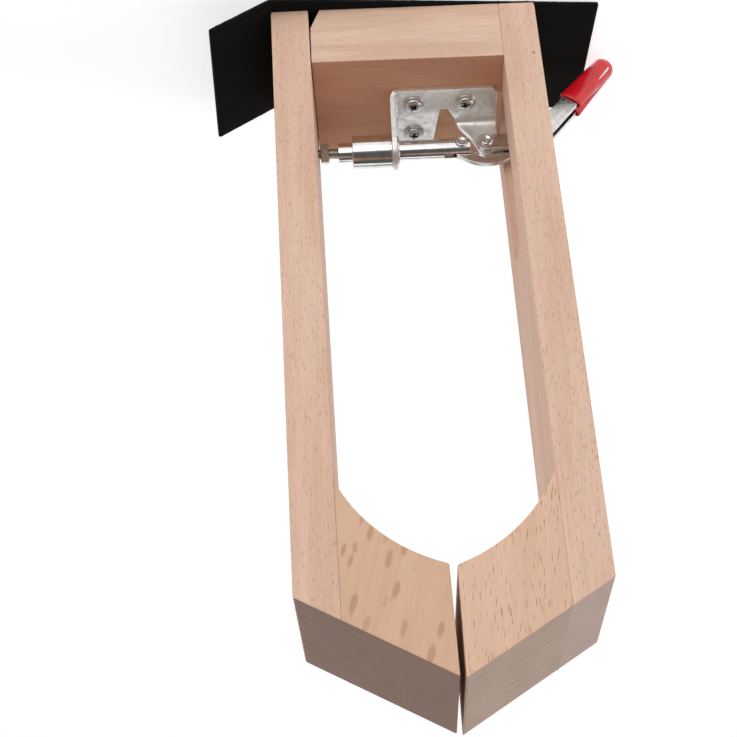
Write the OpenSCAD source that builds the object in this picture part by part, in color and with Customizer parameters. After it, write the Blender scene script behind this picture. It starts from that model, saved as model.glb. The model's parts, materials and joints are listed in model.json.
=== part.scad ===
// Leather stitching pony: two beech arms on a short base block. One arm is fixed,
// the other is hinged and is pulled shut by a push-pull toggle clamp.
// Z = 0 is the underside of the suede strip, X runs across the arms, the front is -Y.

/* [Body] */
// Width across the outer faces of the two legs
outer_w = 100; // [96:1:104]
// Thickness of each leg
leg_t = 14; // [13:0.5:15]
// Depth of every wooden piece, front to back
body_d = 54; // [50:1:58]
// Height of the base block
block_h = 27; // [25:1:29]
// Thickness of the suede strip under the base
strip_t = 2; // [1.5:0.5:2.5]

/* [Jaws] */
// Width of each jaw block, from its leg to its jaw face
jaw_w = 32.9; // [32:0.1:33.2]
// How far the hinged arm leans inwards when it is shut, in degrees
arm_lean = 0.97; // [0.8:0.01:1.1]
// Height of the outer edge where the sloping end starts, above the strip
shoulder_h = 240; // [230:0.5:250]
// Height of the jaw tips, above the strip
tip_h = 268.5; // [260:0.5:280]
// Radius of the hollow under each jaw block
arch_r = 55.3; // [54:0.1:57]
// How far the hollow's centre lies beyond the middle plane
arch_over = 15; // [14:0.5:16]
// Height of the hollow's centre, above the strip
arch_h = 180.5; // [178:0.5:184]

/* [Handle slot] */
// Width of the slot in the fixed leg
slot_w = 22; // [20:1:24]
// Height of the slot's lower end
slot_low = 24; // [20:1:28]
// Height of the slot's upper end
slot_high = 100; // [96:1:110]

/* [Toggle clamp] */
// Height of the plunger's axis above the base block
axis_rise = 14.5; // [14:0.5:16]
// Distance of the plunger's axis behind the middle of the body
axis_y = 7; // [6:0.5:7.5]
// Thickness of the bracket's sheet steel
sheet_t = 2; // [1.5:0.1:2]
// Diameter of the plunger
plunger_d = 7.6; // [7:0.1:8]
// Outer diameter of the guide barrel
barrel_d = 12.7; // [12:0.1:14]
// Distance from the handle pivot to the plunger pin, clamp pulled shut
pin_pitch = 9.6; // [9.4:0.1:10]
// Distance from the handle pivot to the link rivet
crank_r = 10; // [9.8:0.1:10.2]
// Width of the handle's steel plates
plate_w = 7; // [6:0.5:7.5]
// Slope of the handle below the horizontal, in degrees
handle_slope = 50.5; // [46:0.5:53]

/* [Hidden] */
$fn = 64;

eps = 0.5;                                  // overshoot of every cutter
fit = 0.05;                                 // radial clearance of a running fit
half_w = outer_w / 2;
inner_x = half_w - leg_t;                   // inner face of each leg
wood_z = strip_t;                           // underside of the wood
block_top = wood_z + block_h;
jaw_x = inner_x - jaw_w;                    // jaw face of an upright arm
end_slope = (tip_h - shoulder_h) / (half_w - jaw_x);
leg_gap = 0.65;                             // upright hinged leg to base block
block_x1 = inner_x - leg_gap;
chamfer_x = 3.5;
chamfer_z = 9.2;

// butt hinge between the base block and the hinged leg
hinge_x = inner_x;
hinge_z = wood_z + 5;
hinge_len = 38;
knuckle_r = 2;
knuckle_mid = 12.4;
knuckle_gap = 0.3;
hinge_pin_r = 1;
leaf_t = 1.2;
leaf_top = hinge_z + 14;
leaf_block_x = 34;
leaf_arm_x = inner_x + 0.15;
pocket_r = knuckle_r + 0.4;
hinge_screw_y = 12;
hinge_screw_z = hinge_z + 8.5;
hinge_screw_r = 1.2;
hinge_screw_head_r = 2.4;
hinge_screw_len = 11;

// screws through the fixed leg
leg_screw_y = 19;
leg_screw_z = wood_z + 11;
leg_screw_r = 2;
leg_screw_head_r = 4;
leg_screw_head_h = 2.6;
leg_screw_len = 40;

// toggle clamp
axis_z = block_top + axis_rise;
pivot_x = -29.4;
pin_x = pivot_x + pin_pitch;
crank_x = pivot_x - crank_r;
lug_x = 5;
lug_r = 7.4;
lug_low_y0 = -10;
plate_x0 = -34;
plate_y0 = -12;
plate_y1 = 17;
plate_top = block_top + sheet_t;
web_y0 = axis_y - sheet_t / 2;
web_foot_x = -18.8;
web_head_r = 3.6;
barrel_x1 = 22.3;
barrel_spigot_r = 5;
barrel_lip_r = 5.6;
barrel_lip_t = 0.8;
plunger_x0 = -23;
plunger_x1 = 27.6;
plunger_slot_w = 2.4;
plunger_slot_x = -13;
rivet_r = 1.5;
rivet_head_r = 2.5;
rivet_head_h = 1.1;
link_rivet_r = 1.3;
plate_t = 1.8;
washer_t = 0.5;
washer_r = 3.2;
layer_gap = 0.1;
plate_front_y = axis_y - sheet_t / 2 - washer_t - layer_gap - plate_t;
plate_back_y = axis_y + sheet_t / 2 + washer_t + layer_gap;
boss_r = 4;

// link: an arched strap that passes over the pivot
link_t = 1.8;
link_arc_x = pivot_x - 0.3;
link_arc_z = axis_z - 6.65;
link_out_r = 15.7;
link_in_r = 11.1;
link_eye_r = 3;
link_tail_x = crank_x - 0.9;
link_tail_z = axis_z + 0.75;
link_tail_r = 4.4;
link_tail_hole_r = 2.75;

// screws of the clamp bracket
clamp_screw_xy = [[-2, -5], [-22, -5], [-2, 11]];
clamp_screw_r = 1.8;
clamp_screw_head_r = 4;
clamp_screw_head_h = 2.2;
clamp_screw_len = 15;

// spindle bolt through the hinged leg
bolt_r = 2;
bolt_x0 = 17.6;
counter_x = half_w - 5;
washer_gap = 0.6;
spindle_washer_x = counter_x + washer_gap;
spindle_washer_t = 0.8;
spindle_washer_r = 4.5;
hex_af = 7;
bolt_head_h = 2.8;
nut_x = 31.2;
nut_h = 3.2;
swing_low = 0.4;                            // how far the bolt hole runs below the axis
swing_high = 2.6;                           // and above it, as the leg tilts
swing_high_counter = 3.2;

// handle: arc from the pivot, then a straight grip
bend_r = 24;
bend_x = -36.7;
bend_end = [bend_x - bend_r * sin(handle_slope), -bend_r * (1 - cos(handle_slope))];
shank_len = 36;
grip_start = 14;
grip_end = 42.3;
grip_w0 = 11;
grip_w1 = 8.6;
grip_wall = 1;

// strip
strip_x0 = -74;
strip_split = 34;
strip_restart = 36.2;
strip_bend_x = 52;
strip_d = 57;
strip_y = -0.3;
strip_skew = 3.5;
flap_len = 28;
flap_angle = 35;

// extrudes a profile drawn in X and Z along Y, from y0 for a length d
module along_y(y0, d) translate([0, y0 + d, 0]) rotate([90, 0, 0]) linear_extrude(d) children();

// extrudes a profile drawn in Y and Z along X
module along_x(x0, d) translate([x0, 0, 0]) rotate([90, 0, 90]) linear_extrude(d) children();

// cylinder along Y
module rod_y(x, z, r, y0, d) translate([x, y0, z]) rotate([-90, 0, 0]) cylinder(r = r, h = d);

// cylinder along X
module rod_x(y, z, r, x0, d) translate([x0, y, z]) rotate([0, 90, 0]) cylinder(r = r, h = d);

// cylinder that changes radius along X
module cone_x(y, z, r1, r2, x0, d) translate([x0, y, z]) rotate([0, 90, 0]) cylinder(r1 = r1, r2 = r2, h = d);

// upright slot with round ends, seen along X
module upright_slot(y, z0, z1, r) {
    translate([y, z0]) circle(r);
    translate([y, z1]) circle(r);
    translate([y - r, z0]) square([2 * r, z1 - z0]);
}

function end_height(x) = tip_h - end_slope * (x - jaw_x) + wood_z;

// tips a piece of the hinged arm, drawn upright, to its shut position
module lean_in() {
    translate([hinge_x, 0, hinge_z]) rotate([0, -arm_lean, 0]) translate([-hinge_x, 0, -hinge_z]) children();
}

// straight stick of one arm, on the +X side
module leg_stick() {
    along_y(-body_d / 2, body_d)
        polygon([[inner_x, wood_z], [half_w, wood_z],
                 [half_w, end_height(half_w)], [inner_x, end_height(inner_x)]]);
}

// jaw block glued to the inner face of a leg, on the +X side
module jaw_block_shape() {
    along_y(-body_d / 2, body_d)
        difference() {
            polygon([[jaw_x, arch_h + wood_z], [inner_x, arch_h + wood_z],
                     [inner_x, end_height(inner_x)], [jaw_x, end_height(jaw_x)]]);
            translate([-arch_over, arch_h + wood_z]) circle(arch_r, $fn = 128);
        }
}

module leg_screw_holes(clear) {
    for (s = [-1, 1]) {
        rod_x(s * leg_screw_y, leg_screw_z, leg_screw_r + clear, -half_w - eps, leg_screw_len + eps);
        cone_x(s * leg_screw_y, leg_screw_z, leg_screw_head_r + clear, leg_screw_r + clear,
               -half_w, leg_screw_head_h);
    }
}

module base_block() {
    color("burlywood") difference() {
        along_y(-body_d / 2, body_d)
            polygon([[-inner_x, wood_z], [block_x1 - chamfer_x, wood_z],
                     [block_x1, wood_z + chamfer_z], [block_x1, block_top], [-inner_x, block_top]]);
        rod_y(hinge_x, hinge_z, pocket_r, -hinge_len / 2 - 0.3, hinge_len + 0.6);
        translate([leaf_block_x, -hinge_len / 2 - 0.1, hinge_z])
            cube([leaf_t + eps, hinge_len + 0.2, leaf_top - hinge_z + 0.1]);
        leg_screw_holes(fit);
        for (s = [-1, 1])
            rod_x(s * hinge_screw_y, hinge_screw_z, hinge_screw_r + fit,
                  leaf_block_x + leaf_t - hinge_screw_len, hinge_screw_len + eps);
        for (p = clamp_screw_xy)
            translate([p[0], p[1], plate_top - clamp_screw_len]) cylinder(r = clamp_screw_r + fit, h = 30);
    }
}

module fixed_leg() {
    color("tan") difference() {
        mirror([1, 0, 0]) leg_stick();
        along_x(-half_w - eps, leg_t + 2 * eps)
            upright_slot(axis_y - 5, slot_low + slot_w / 2, slot_high - slot_w / 2, slot_w / 2);
        leg_screw_holes(fit);
    }
}

module fixed_jaw_block() {
    color("burlywood") mirror([1, 0, 0]) jaw_block_shape();
}

module moving_leg() {
    color("tan") lean_in() difference() {
        leg_stick();
        rod_y(hinge_x, hinge_z, pocket_r, -hinge_len / 2 - 0.3, hinge_len + 0.6);
        translate([inner_x - eps, -hinge_len / 2 - 0.1, hinge_z])
            cube([leaf_arm_x + leaf_t - inner_x + eps, hinge_len + 0.2, leaf_top - hinge_z + 0.1]);
        for (s = [-1, 1])
            rod_x(s * hinge_screw_y, hinge_screw_z, hinge_screw_r + fit, leaf_arm_x, hinge_screw_len);
        along_x(inner_x - eps, leg_t + 2 * eps)
            upright_slot(axis_y, axis_z - swing_low, axis_z + swing_high, bolt_r + 0.3);
        along_x(counter_x, leg_t)
            upright_slot(axis_y, axis_z - swing_low, axis_z + swing_high_counter, spindle_washer_r + 0.7);
    }
}

module moving_jaw_block() {
    color("burlywood") lean_in() jaw_block_shape();
}

module base_strip() {
    color([0.07, 0.07, 0.07]) rotate([0, 0, -strip_skew])
        translate([strip_x0, strip_y - strip_d / 2, 0]) cube([strip_split - strip_x0, strip_d, strip_t]);
}

module base_strip_flap() {
    color([0.07, 0.07, 0.07]) lean_in() rotate([0, 0, -strip_skew]) along_y(strip_y - strip_d / 2, strip_d)
        polygon([[strip_restart, 0], [strip_bend_x, 0],
                 [strip_bend_x + flap_len * cos(flap_angle), flap_len * sin(flap_angle)],
                 [strip_bend_x + flap_len * cos(flap_angle) - strip_t * sin(flap_angle),
                  flap_len * sin(flap_angle) + strip_t * cos(flap_angle)],
                 [strip_bend_x - strip_t * tan(flap_angle / 2), strip_t], [strip_restart, strip_t]]);
}

module leg_screws() {
    color("silver") for (s = [-1, 1]) difference() {
        union() {
            cone_x(s * leg_screw_y, leg_screw_z, leg_screw_head_r, leg_screw_r, -half_w, leg_screw_head_h);
            rod_x(s * leg_screw_y, leg_screw_z, leg_screw_r, -half_w + leg_screw_head_h - 0.1,
                  leg_screw_len - leg_screw_head_h);
        }
        for (a = [0, 90])
            translate([-half_w - eps, s * leg_screw_y, leg_screw_z]) rotate([a, 0, 0])
                translate([0, -0.5, -2]) cube([1.8 + eps, 1, 4]);
    }
}

// one leaf of the butt hinge, drawn with its plate's inner face at plate_x
module hinge_leaf(plate_x, knuckles, bore_r) {
    difference() {
        union() {
            translate([plate_x, -hinge_len / 2, hinge_z]) cube([leaf_t, hinge_len, leaf_top - hinge_z]);
            for (k = knuckles) rod_y(hinge_x, hinge_z, knuckle_r, k[0], k[1] - k[0]);
        }
        rod_y(hinge_x, hinge_z, bore_r, -hinge_len, 2 * hinge_len);
        children();
    }
}

// countersunk holes for the leaf screws, heads on the side that faces the other leaf
module leaf_screw_holes(x, dir) {
    for (s = [-1, 1]) {
        rod_x(s * hinge_screw_y, hinge_screw_z, hinge_screw_r, x - 3, 6);
        if (dir > 0)
            cone_x(s * hinge_screw_y, hinge_screw_z, hinge_screw_r, hinge_screw_head_r, x - leaf_t, leaf_t);
        else
            cone_x(s * hinge_screw_y, hinge_screw_z, hinge_screw_head_r, hinge_screw_r, x, leaf_t);
    }
}

module hinge_leaf_block() {
    k = knuckle_mid / 2 + knuckle_gap;
    color("silver")
        hinge_leaf(leaf_block_x, [[-hinge_len / 2, -k], [k, hinge_len / 2]], hinge_pin_r) {
            translate([leaf_block_x - eps, -k, hinge_z - knuckle_r])
                cube([3 * leaf_t, 2 * k, knuckle_r + pocket_r]);
            leaf_screw_holes(leaf_block_x + leaf_t, 1);
        }
}

module hinge_leaf_arm() {
    k = knuckle_mid / 2;
    color("silver") lean_in()
        hinge_leaf(leaf_arm_x, [[-k, k]], hinge_pin_r + fit) {
            for (s = [-1, 1])
                translate([leaf_arm_x - eps, s > 0 ? k : -hinge_len, hinge_z - knuckle_r])
                    cube([3 * leaf_t, hinge_len - k, knuckle_r + pocket_r]);
            leaf_screw_holes(leaf_arm_x, -1);
        }
}

module hinge_pin() {
    color("silver") rod_y(hinge_x, hinge_z, hinge_pin_r, -hinge_len / 2, hinge_len);
}

module hinge_screws_block() {
    x = leaf_block_x + leaf_t;
    color("silver") for (s = [-1, 1]) {
        cone_x(s * hinge_screw_y, hinge_screw_z, hinge_screw_r, hinge_screw_head_r, x - leaf_t, leaf_t);
        rod_x(s * hinge_screw_y, hinge_screw_z, hinge_screw_r, x - hinge_screw_len, hinge_screw_len - 0.5);
    }
}

module hinge_screws_arm() {
    color("silver") lean_in() for (s = [-1, 1]) {
        cone_x(s * hinge_screw_y, hinge_screw_z, hinge_screw_head_r, hinge_screw_r, leaf_arm_x, leaf_t);
        rod_x(s * hinge_screw_y, hinge_screw_z, hinge_screw_r, leaf_arm_x + 0.5, hinge_screw_len - 0.5);
    }
}

// bracket bent from one sheet: foot plate, upright lug for the barrel, upright web for the pivot
module clamp_bracket() {
    color("gainsboro") difference() {
        union() {
            translate([0, 0, block_top]) linear_extrude(sheet_t) difference() {
                polygon([[lug_x + sheet_t, plate_y0 + 2], [lug_x, plate_y0], [plate_x0 + 2, plate_y0],
                         [plate_x0, plate_y0 + 2], [plate_x0, web_y0 + sheet_t],
                         [web_foot_x, web_y0 + sheet_t], [web_foot_x, plate_y1], [lug_x + sheet_t, plate_y1]]);
                polygon([[-15.2, -1.5], [-12.2, -1.5], [-9.6, plate_y1 + 1], [-30, plate_y1 + 1],
                         [-30, web_y0 + sheet_t], [web_foot_x, web_y0 + sheet_t], [web_foot_x, web_y0]]);
            }
            along_x(lug_x, sheet_t) {
                polygon([[lug_low_y0, block_top], [plate_y1, block_top],
                         [axis_y + lug_r, axis_z], [axis_y - lug_r, axis_z]]);
                translate([axis_y, axis_z]) circle(lug_r);
            }
            along_y(web_y0, sheet_t) {
                polygon([[web_foot_x, block_top], [web_foot_x, plate_top], [-23.6, axis_z - 4.8],
                         [pivot_x + web_head_r, axis_z], [pivot_x - web_head_r, axis_z],
                         [plate_x0, axis_z - 4], [plate_x0, block_top]]);
                translate([pivot_x, axis_z]) circle(web_head_r);
            }
        }
        rod_x(axis_y, axis_z, barrel_spigot_r, lug_x - eps, sheet_t + 2 * eps);
        rod_y(pivot_x, axis_z, rivet_r, web_y0 - eps, sheet_t + 2 * eps);
        for (p = clamp_screw_xy)
            translate([p[0], p[1], block_top - eps]) cylinder(r = clamp_screw_r + 0.3, h = sheet_t + 2 * eps);
    }
}

module clamp_screws() {
    color("silver") for (p = clamp_screw_xy) translate([p[0], p[1], plate_top]) difference() {
        union() {
            rotate_extrude() polygon([[0, 0], [clamp_screw_head_r, 0], [clamp_screw_head_r, 0.7],
                                      [clamp_screw_head_r - 0.5, 1.5], [clamp_screw_head_r - 1.8, 2.1],
                                      [0, clamp_screw_head_h]]);
            translate([0, 0, -clamp_screw_len + 1]) cylinder(r = clamp_screw_r, h = clamp_screw_len - 0.9);
        }
        for (a = [0, 90]) rotate(a + 20) translate([-2.1, -0.5, 0.9]) cube([4.2, 1, 3]);
    }
}

module guide_barrel() {
    color("silver") difference() {
        union() {
            rod_x(axis_y, axis_z, barrel_d / 2, lug_x + sheet_t, barrel_x1 - lug_x - sheet_t);
            rod_x(axis_y, axis_z, barrel_spigot_r, lug_x - barrel_lip_t, sheet_t + 2 * barrel_lip_t);
            rod_x(axis_y, axis_z, barrel_lip_r, lug_x - barrel_lip_t, barrel_lip_t);
        }
        rod_x(axis_y, axis_z, plunger_d / 2 + fit, lug_x - 2, barrel_x1);
    }
}

module plunger() {
    color("silver") difference() {
        rod_x(axis_y, axis_z, plunger_d / 2, plunger_x0, plunger_x1 - plunger_x0);
        translate([plunger_x0 - eps, axis_y - plunger_slot_w / 2, axis_z - plunger_d])
            cube([plunger_slot_x - plunger_x0 + eps, plunger_slot_w, 2 * plunger_d]);
        rod_y(pin_x, axis_z, rivet_r, axis_y - plunger_d, 2 * plunger_d);
        for (s = [-1, 1])
            rod_y(pin_x, axis_z, rivet_head_r + fit, axis_y + s * plunger_d - plunger_d / 2 - s * 0.5, plunger_d);
        rod_x(axis_y, axis_z, bolt_r, bolt_x0 - 1, plunger_x1);
    }
}

// rivet along Y with a low domed head at each end; half is half the clamped stack
module rivet(x, half, r, head_r) {
    translate([x, axis_y, axis_z]) rotate([-90, 0, 0]) {
        cylinder(r = r, h = 2 * half, center = true);
        for (m = [0, 1]) mirror([0, 0, m]) translate([0, 0, half])
            rotate_extrude() polygon([[0, -0.05], [r, -0.05], [r, 0], [head_r, 0], [head_r, 0.4],
                                      [head_r - 0.5, rivet_head_h - 0.2], [head_r - 1, rivet_head_h],
                                      [0.9, rivet_head_h], [0.6, rivet_head_h - 0.4], [0, rivet_head_h - 0.4]]);
    }
}

module plunger_rivet() {
    color("silver") rivet(pin_x, plunger_d / 2 - 0.5, rivet_r, rivet_head_r);
}

module hex_x(x0, h, bore_r) {
    translate([x0, axis_y, axis_z]) rotate([0, 90, 0]) difference() {
        cylinder(r = hex_af / sqrt(3), h = h, $fn = 6);
        if (bore_r > 0) translate([0, 0, -eps]) cylinder(r = bore_r, h = h + 2 * eps);
    }
}

module spindle_bolt() {
    head_x = spindle_washer_x + spindle_washer_t;
    color("silver") {
        rod_x(axis_y, axis_z, bolt_r, bolt_x0, head_x + 0.5 - bolt_x0);
        hex_x(head_x, bolt_head_h, 0);
    }
}

module spindle_washer() {
    color("silver") difference() {
        rod_x(axis_y, axis_z, spindle_washer_r, spindle_washer_x, spindle_washer_t);
        rod_x(axis_y, axis_z, bolt_r, spindle_washer_x - eps, spindle_washer_t + 2 * eps);
    }
}

module spindle_nut() {
    color("silver") hex_x(nut_x, nut_h, bolt_r);
}

module pivot_rivet() {
    color("silver") rivet(pivot_x, plate_back_y + plate_t + layer_gap - axis_y, rivet_r, rivet_head_r);
}

module pivot_washers() {
    color("silver") for (y = [web_y0 - washer_t, web_y0 + sheet_t]) difference() {
        rod_y(pivot_x, axis_z, washer_r, y, washer_t);
        rod_y(pivot_x, axis_z, rivet_r, y - eps, washer_t + 2 * eps);
    }
}

module link() {
    color("silver") difference() {
        along_y(axis_y - link_t / 2, link_t) {
            difference() {
                translate([link_arc_x, link_arc_z]) circle(link_out_r, $fn = 96);
                translate([link_arc_x, link_arc_z]) circle(link_in_r, $fn = 96);
                polygon([[link_arc_x, link_arc_z], [pin_x * 3 - 2 * link_arc_x, axis_z * 3 - 2 * link_arc_z],
                         [link_arc_x + 40, link_arc_z - 40], [link_arc_x - 60, link_arc_z - 40],
                         [link_tail_x * 3 - 2 * link_arc_x, link_tail_z * 3 - 2 * link_arc_z]]);
            }
            translate([pin_x, axis_z]) circle(link_eye_r);
            translate([link_tail_x, link_tail_z]) circle(link_tail_r);
        }
        rod_y(pin_x, axis_z, rivet_r + fit, axis_y - link_t, 2 * link_t);
        rod_y(link_tail_x, link_tail_z, link_tail_hole_r, axis_y - link_t, 2 * link_t);
    }
}

module link_rivet() {
    color("silver") rivet(crank_x, plate_back_y + plate_t - axis_y, link_rivet_r, rivet_head_r - 0.3);
}

// outline of a handle plate in X and Z: boss, arc and straight shank
module handle_outline(w, len) {
    translate([pivot_x, axis_z]) circle(boss_r);
    translate([bend_x, axis_z - w / 2]) square([pivot_x - bend_x, w]);
    translate([bend_x, axis_z - bend_r]) intersection() {
        difference() {
            circle(bend_r + w / 2, $fn = 128);
            circle(bend_r - w / 2, $fn = 128);
        }
        polygon([[0, 0], [0, 60], [-60 * tan(handle_slope / 2), 60],
                 [-80 * sin(handle_slope), 80 * cos(handle_slope)]]);
    }
    translate([bend_end[0], axis_z + bend_end[1]]) rotate(180 + handle_slope) {
        translate([0, -w / 2]) square([len, w]);
        translate([len, 0]) circle(w / 2);
    }
}

module handle_plate(y) {
    along_y(y, plate_t) difference() {
        handle_outline(plate_w, shank_len);
        translate([pivot_x, axis_z]) circle(rivet_r + fit);
        translate([crank_x, axis_z]) circle(link_rivet_r);
    }
}

module handle_plate_front() {
    color("gainsboro") handle_plate(plate_front_y);
}

module handle_plate_back() {
    color("gainsboro") handle_plate(plate_back_y);
}

// dipped vinyl sleeve over the ends of both plates
module handle_grip() {
    y0 = plate_front_y - grip_wall;
    d = plate_back_y + plate_t + grip_wall - y0;
    color("red") difference() {
        along_y(y0, d) translate([bend_end[0], axis_z + bend_end[1]]) rotate(180 + handle_slope) {
            polygon([[grip_start, -grip_w0 / 2], [grip_end - grip_w1 / 2, -grip_w1 / 2],
                     [grip_end - grip_w1 / 2, grip_w1 / 2], [grip_start, grip_w0 / 2]]);
            translate([grip_end - grip_w1 / 2, 0]) circle(grip_w1 / 2);
        }
        handle_plate(plate_front_y);
        handle_plate(plate_back_y);
    }
}

base_block();
fixed_leg();
fixed_jaw_block();
moving_leg();
moving_jaw_block();
base_strip();
base_strip_flap();
leg_screws();
hinge_leaf_block();
hinge_leaf_arm();
hinge_pin();
hinge_screws_block();
hinge_screws_arm();
clamp_bracket();
clamp_screws();
guide_barrel();
plunger();
plunger_rivet();
spindle_bolt();
spindle_washer();
spindle_nut();
pivot_rivet();
pivot_washers();
link();
link_rivet();
handle_plate_front();
handle_plate_back();
handle_grip();
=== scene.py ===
import json
import math

import bmesh
import bpy
from mathutils import Matrix, Quaternion, Vector, noise


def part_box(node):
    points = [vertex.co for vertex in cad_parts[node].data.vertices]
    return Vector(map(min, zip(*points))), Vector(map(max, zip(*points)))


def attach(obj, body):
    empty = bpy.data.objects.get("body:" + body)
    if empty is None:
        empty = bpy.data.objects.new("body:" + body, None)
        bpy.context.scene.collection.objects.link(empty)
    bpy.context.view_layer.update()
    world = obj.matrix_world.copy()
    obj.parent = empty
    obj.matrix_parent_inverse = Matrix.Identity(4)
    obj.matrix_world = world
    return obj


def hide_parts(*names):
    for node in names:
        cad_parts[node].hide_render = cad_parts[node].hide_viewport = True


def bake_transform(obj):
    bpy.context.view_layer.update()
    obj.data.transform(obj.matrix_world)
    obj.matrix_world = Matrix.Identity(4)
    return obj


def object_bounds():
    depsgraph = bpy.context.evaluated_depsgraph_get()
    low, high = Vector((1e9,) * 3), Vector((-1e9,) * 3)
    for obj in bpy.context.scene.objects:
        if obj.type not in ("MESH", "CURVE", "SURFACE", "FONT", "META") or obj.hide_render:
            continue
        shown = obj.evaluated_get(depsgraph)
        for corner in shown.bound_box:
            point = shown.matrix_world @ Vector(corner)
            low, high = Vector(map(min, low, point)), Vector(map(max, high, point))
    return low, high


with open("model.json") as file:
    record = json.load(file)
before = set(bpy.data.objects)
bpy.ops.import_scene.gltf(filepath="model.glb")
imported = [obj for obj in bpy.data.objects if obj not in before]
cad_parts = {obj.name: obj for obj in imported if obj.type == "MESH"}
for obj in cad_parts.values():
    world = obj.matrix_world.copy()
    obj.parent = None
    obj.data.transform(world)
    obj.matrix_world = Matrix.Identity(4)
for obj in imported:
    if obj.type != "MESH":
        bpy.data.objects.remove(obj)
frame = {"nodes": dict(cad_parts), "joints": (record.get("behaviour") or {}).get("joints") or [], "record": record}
cad_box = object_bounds()

MM = 0.001                                   # metres in a millimetre
joint = {j["name"]: j for j in frame["joints"]}
body_of_node = {n: b for b, names in frame["record"]["behaviour"]["bodies"].items() for n in names}
hinge = Vector(joint["arm_hinge"]["pos_m"])
pivot = Vector(joint["handle_pivot"]["pos_m"])
ARM_LEAN = math.radians(0.97)                # how far the hinged arm leans inwards when it is shut


def leaned(point, share=1.0):
    """A point in mm of the upright hinged arm, as it lies when the arm is shut."""
    middle = hinge / MM
    return middle + Matrix.Rotation(-ARM_LEAN * share, 3, "Y") @ (point - middle)


# ---------------------------------------------------------------- camera, light and floor

def make_camera():
    """The camera looks down at the front, turned nearly upside down, as the pony is held jaws down."""
    data = bpy.data.cameras.new("camera")
    camera = bpy.data.objects.new("camera", data)
    bpy.context.scene.collection.objects.link(camera)
    camera.location = (0.0176, -0.4140, 0.4118)
    look_at = Vector((-0.0126, 0, 0.1722))
    roll = math.radians(174.72)
    aim = (look_at - camera.location).to_track_quat("-Z", "Y")
    camera.rotation_mode = "QUATERNION"
    camera.rotation_quaternion = aim @ Quaternion((0, 0, 1), roll)
    data.sensor_width = 36
    data.lens = 69.47
    data.shift_x = -0.1377
    data.shift_y = 0.0794
    data.clip_start = 0.01
    bpy.context.scene.camera = camera


def area_light(name, place, look_at, size, power):
    data = bpy.data.lights.new(name, "AREA")
    data.shape = "RECTANGLE"
    data.size, data.size_y = size
    data.energy = power
    lamp = bpy.data.objects.new(name, data)
    bpy.context.scene.collection.objects.link(lamp)
    lamp.location = place
    lamp.rotation_euler = (Vector(look_at) - Vector(place)).to_track_quat("-Z", "Y").to_euler()


def make_world():
    """A studio that is white round the horizon and dim overhead."""
    world = bpy.data.worlds.new("studio")
    bpy.context.scene.world = world
    world.use_nodes = True
    nodes, links = world.node_tree.nodes, world.node_tree.links
    place = nodes.new("ShaderNodeTexCoord")
    split = nodes.new("ShaderNodeSeparateXYZ")
    ramp = nodes.new("ShaderNodeValToRGB")
    links.new(place.outputs["Generated"], split.inputs[0])
    links.new(split.outputs["Z"], ramp.inputs[0])
    stops = [(0.0, 1.0), (0.30, 1.0), (0.50, 0.30), (0.75, 0.10), (1.0, 0.10)]
    set_stops(ramp, [(at, (level, level, level)) for at, level in stops])
    links.new(ramp.outputs["Color"], nodes["Background"].inputs["Color"])
    nodes["Background"].inputs["Strength"].default_value = 1.05


def make_floor():
    """A bright floor just under the lowest point of the part."""
    half = 3.0
    mesh = bpy.data.meshes.new("floor")
    z = cad_box[0].z - 0.2 * MM
    corners = [(-half, -half, z), (half, -half, z), (half, half, z), (-half, half, z)]
    mesh.from_pydata(corners, [], [(0, 1, 2, 3)])
    floor = bpy.data.objects.new("floor", mesh)
    bpy.context.scene.collection.objects.link(floor)
    s = Shader("floor_white")
    s.set("Base Color", (0.9, 0.9, 0.9, 1))
    s.set("Roughness", 0.8)
    s.set("Emission Color", (1, 1, 1, 1))
    s.set("Emission Strength", 0.61)
    floor.data.materials.append(s.material)


# ---------------------------------------------------------------- shader helpers

def set_stops(ramp, stops):
    elements = ramp.color_ramp.elements
    while len(elements) < len(stops):
        elements.new(0.5)
    for element, (at, color) in zip(elements, stops):
        element.position = at
        element.color = (*color, 1)


def toned(color, *factors):
    """A colour times one factor, or times one factor for each channel."""
    return tuple(c * k for c, k in zip(color, factors if len(factors) == 3 else factors * 3))


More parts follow.
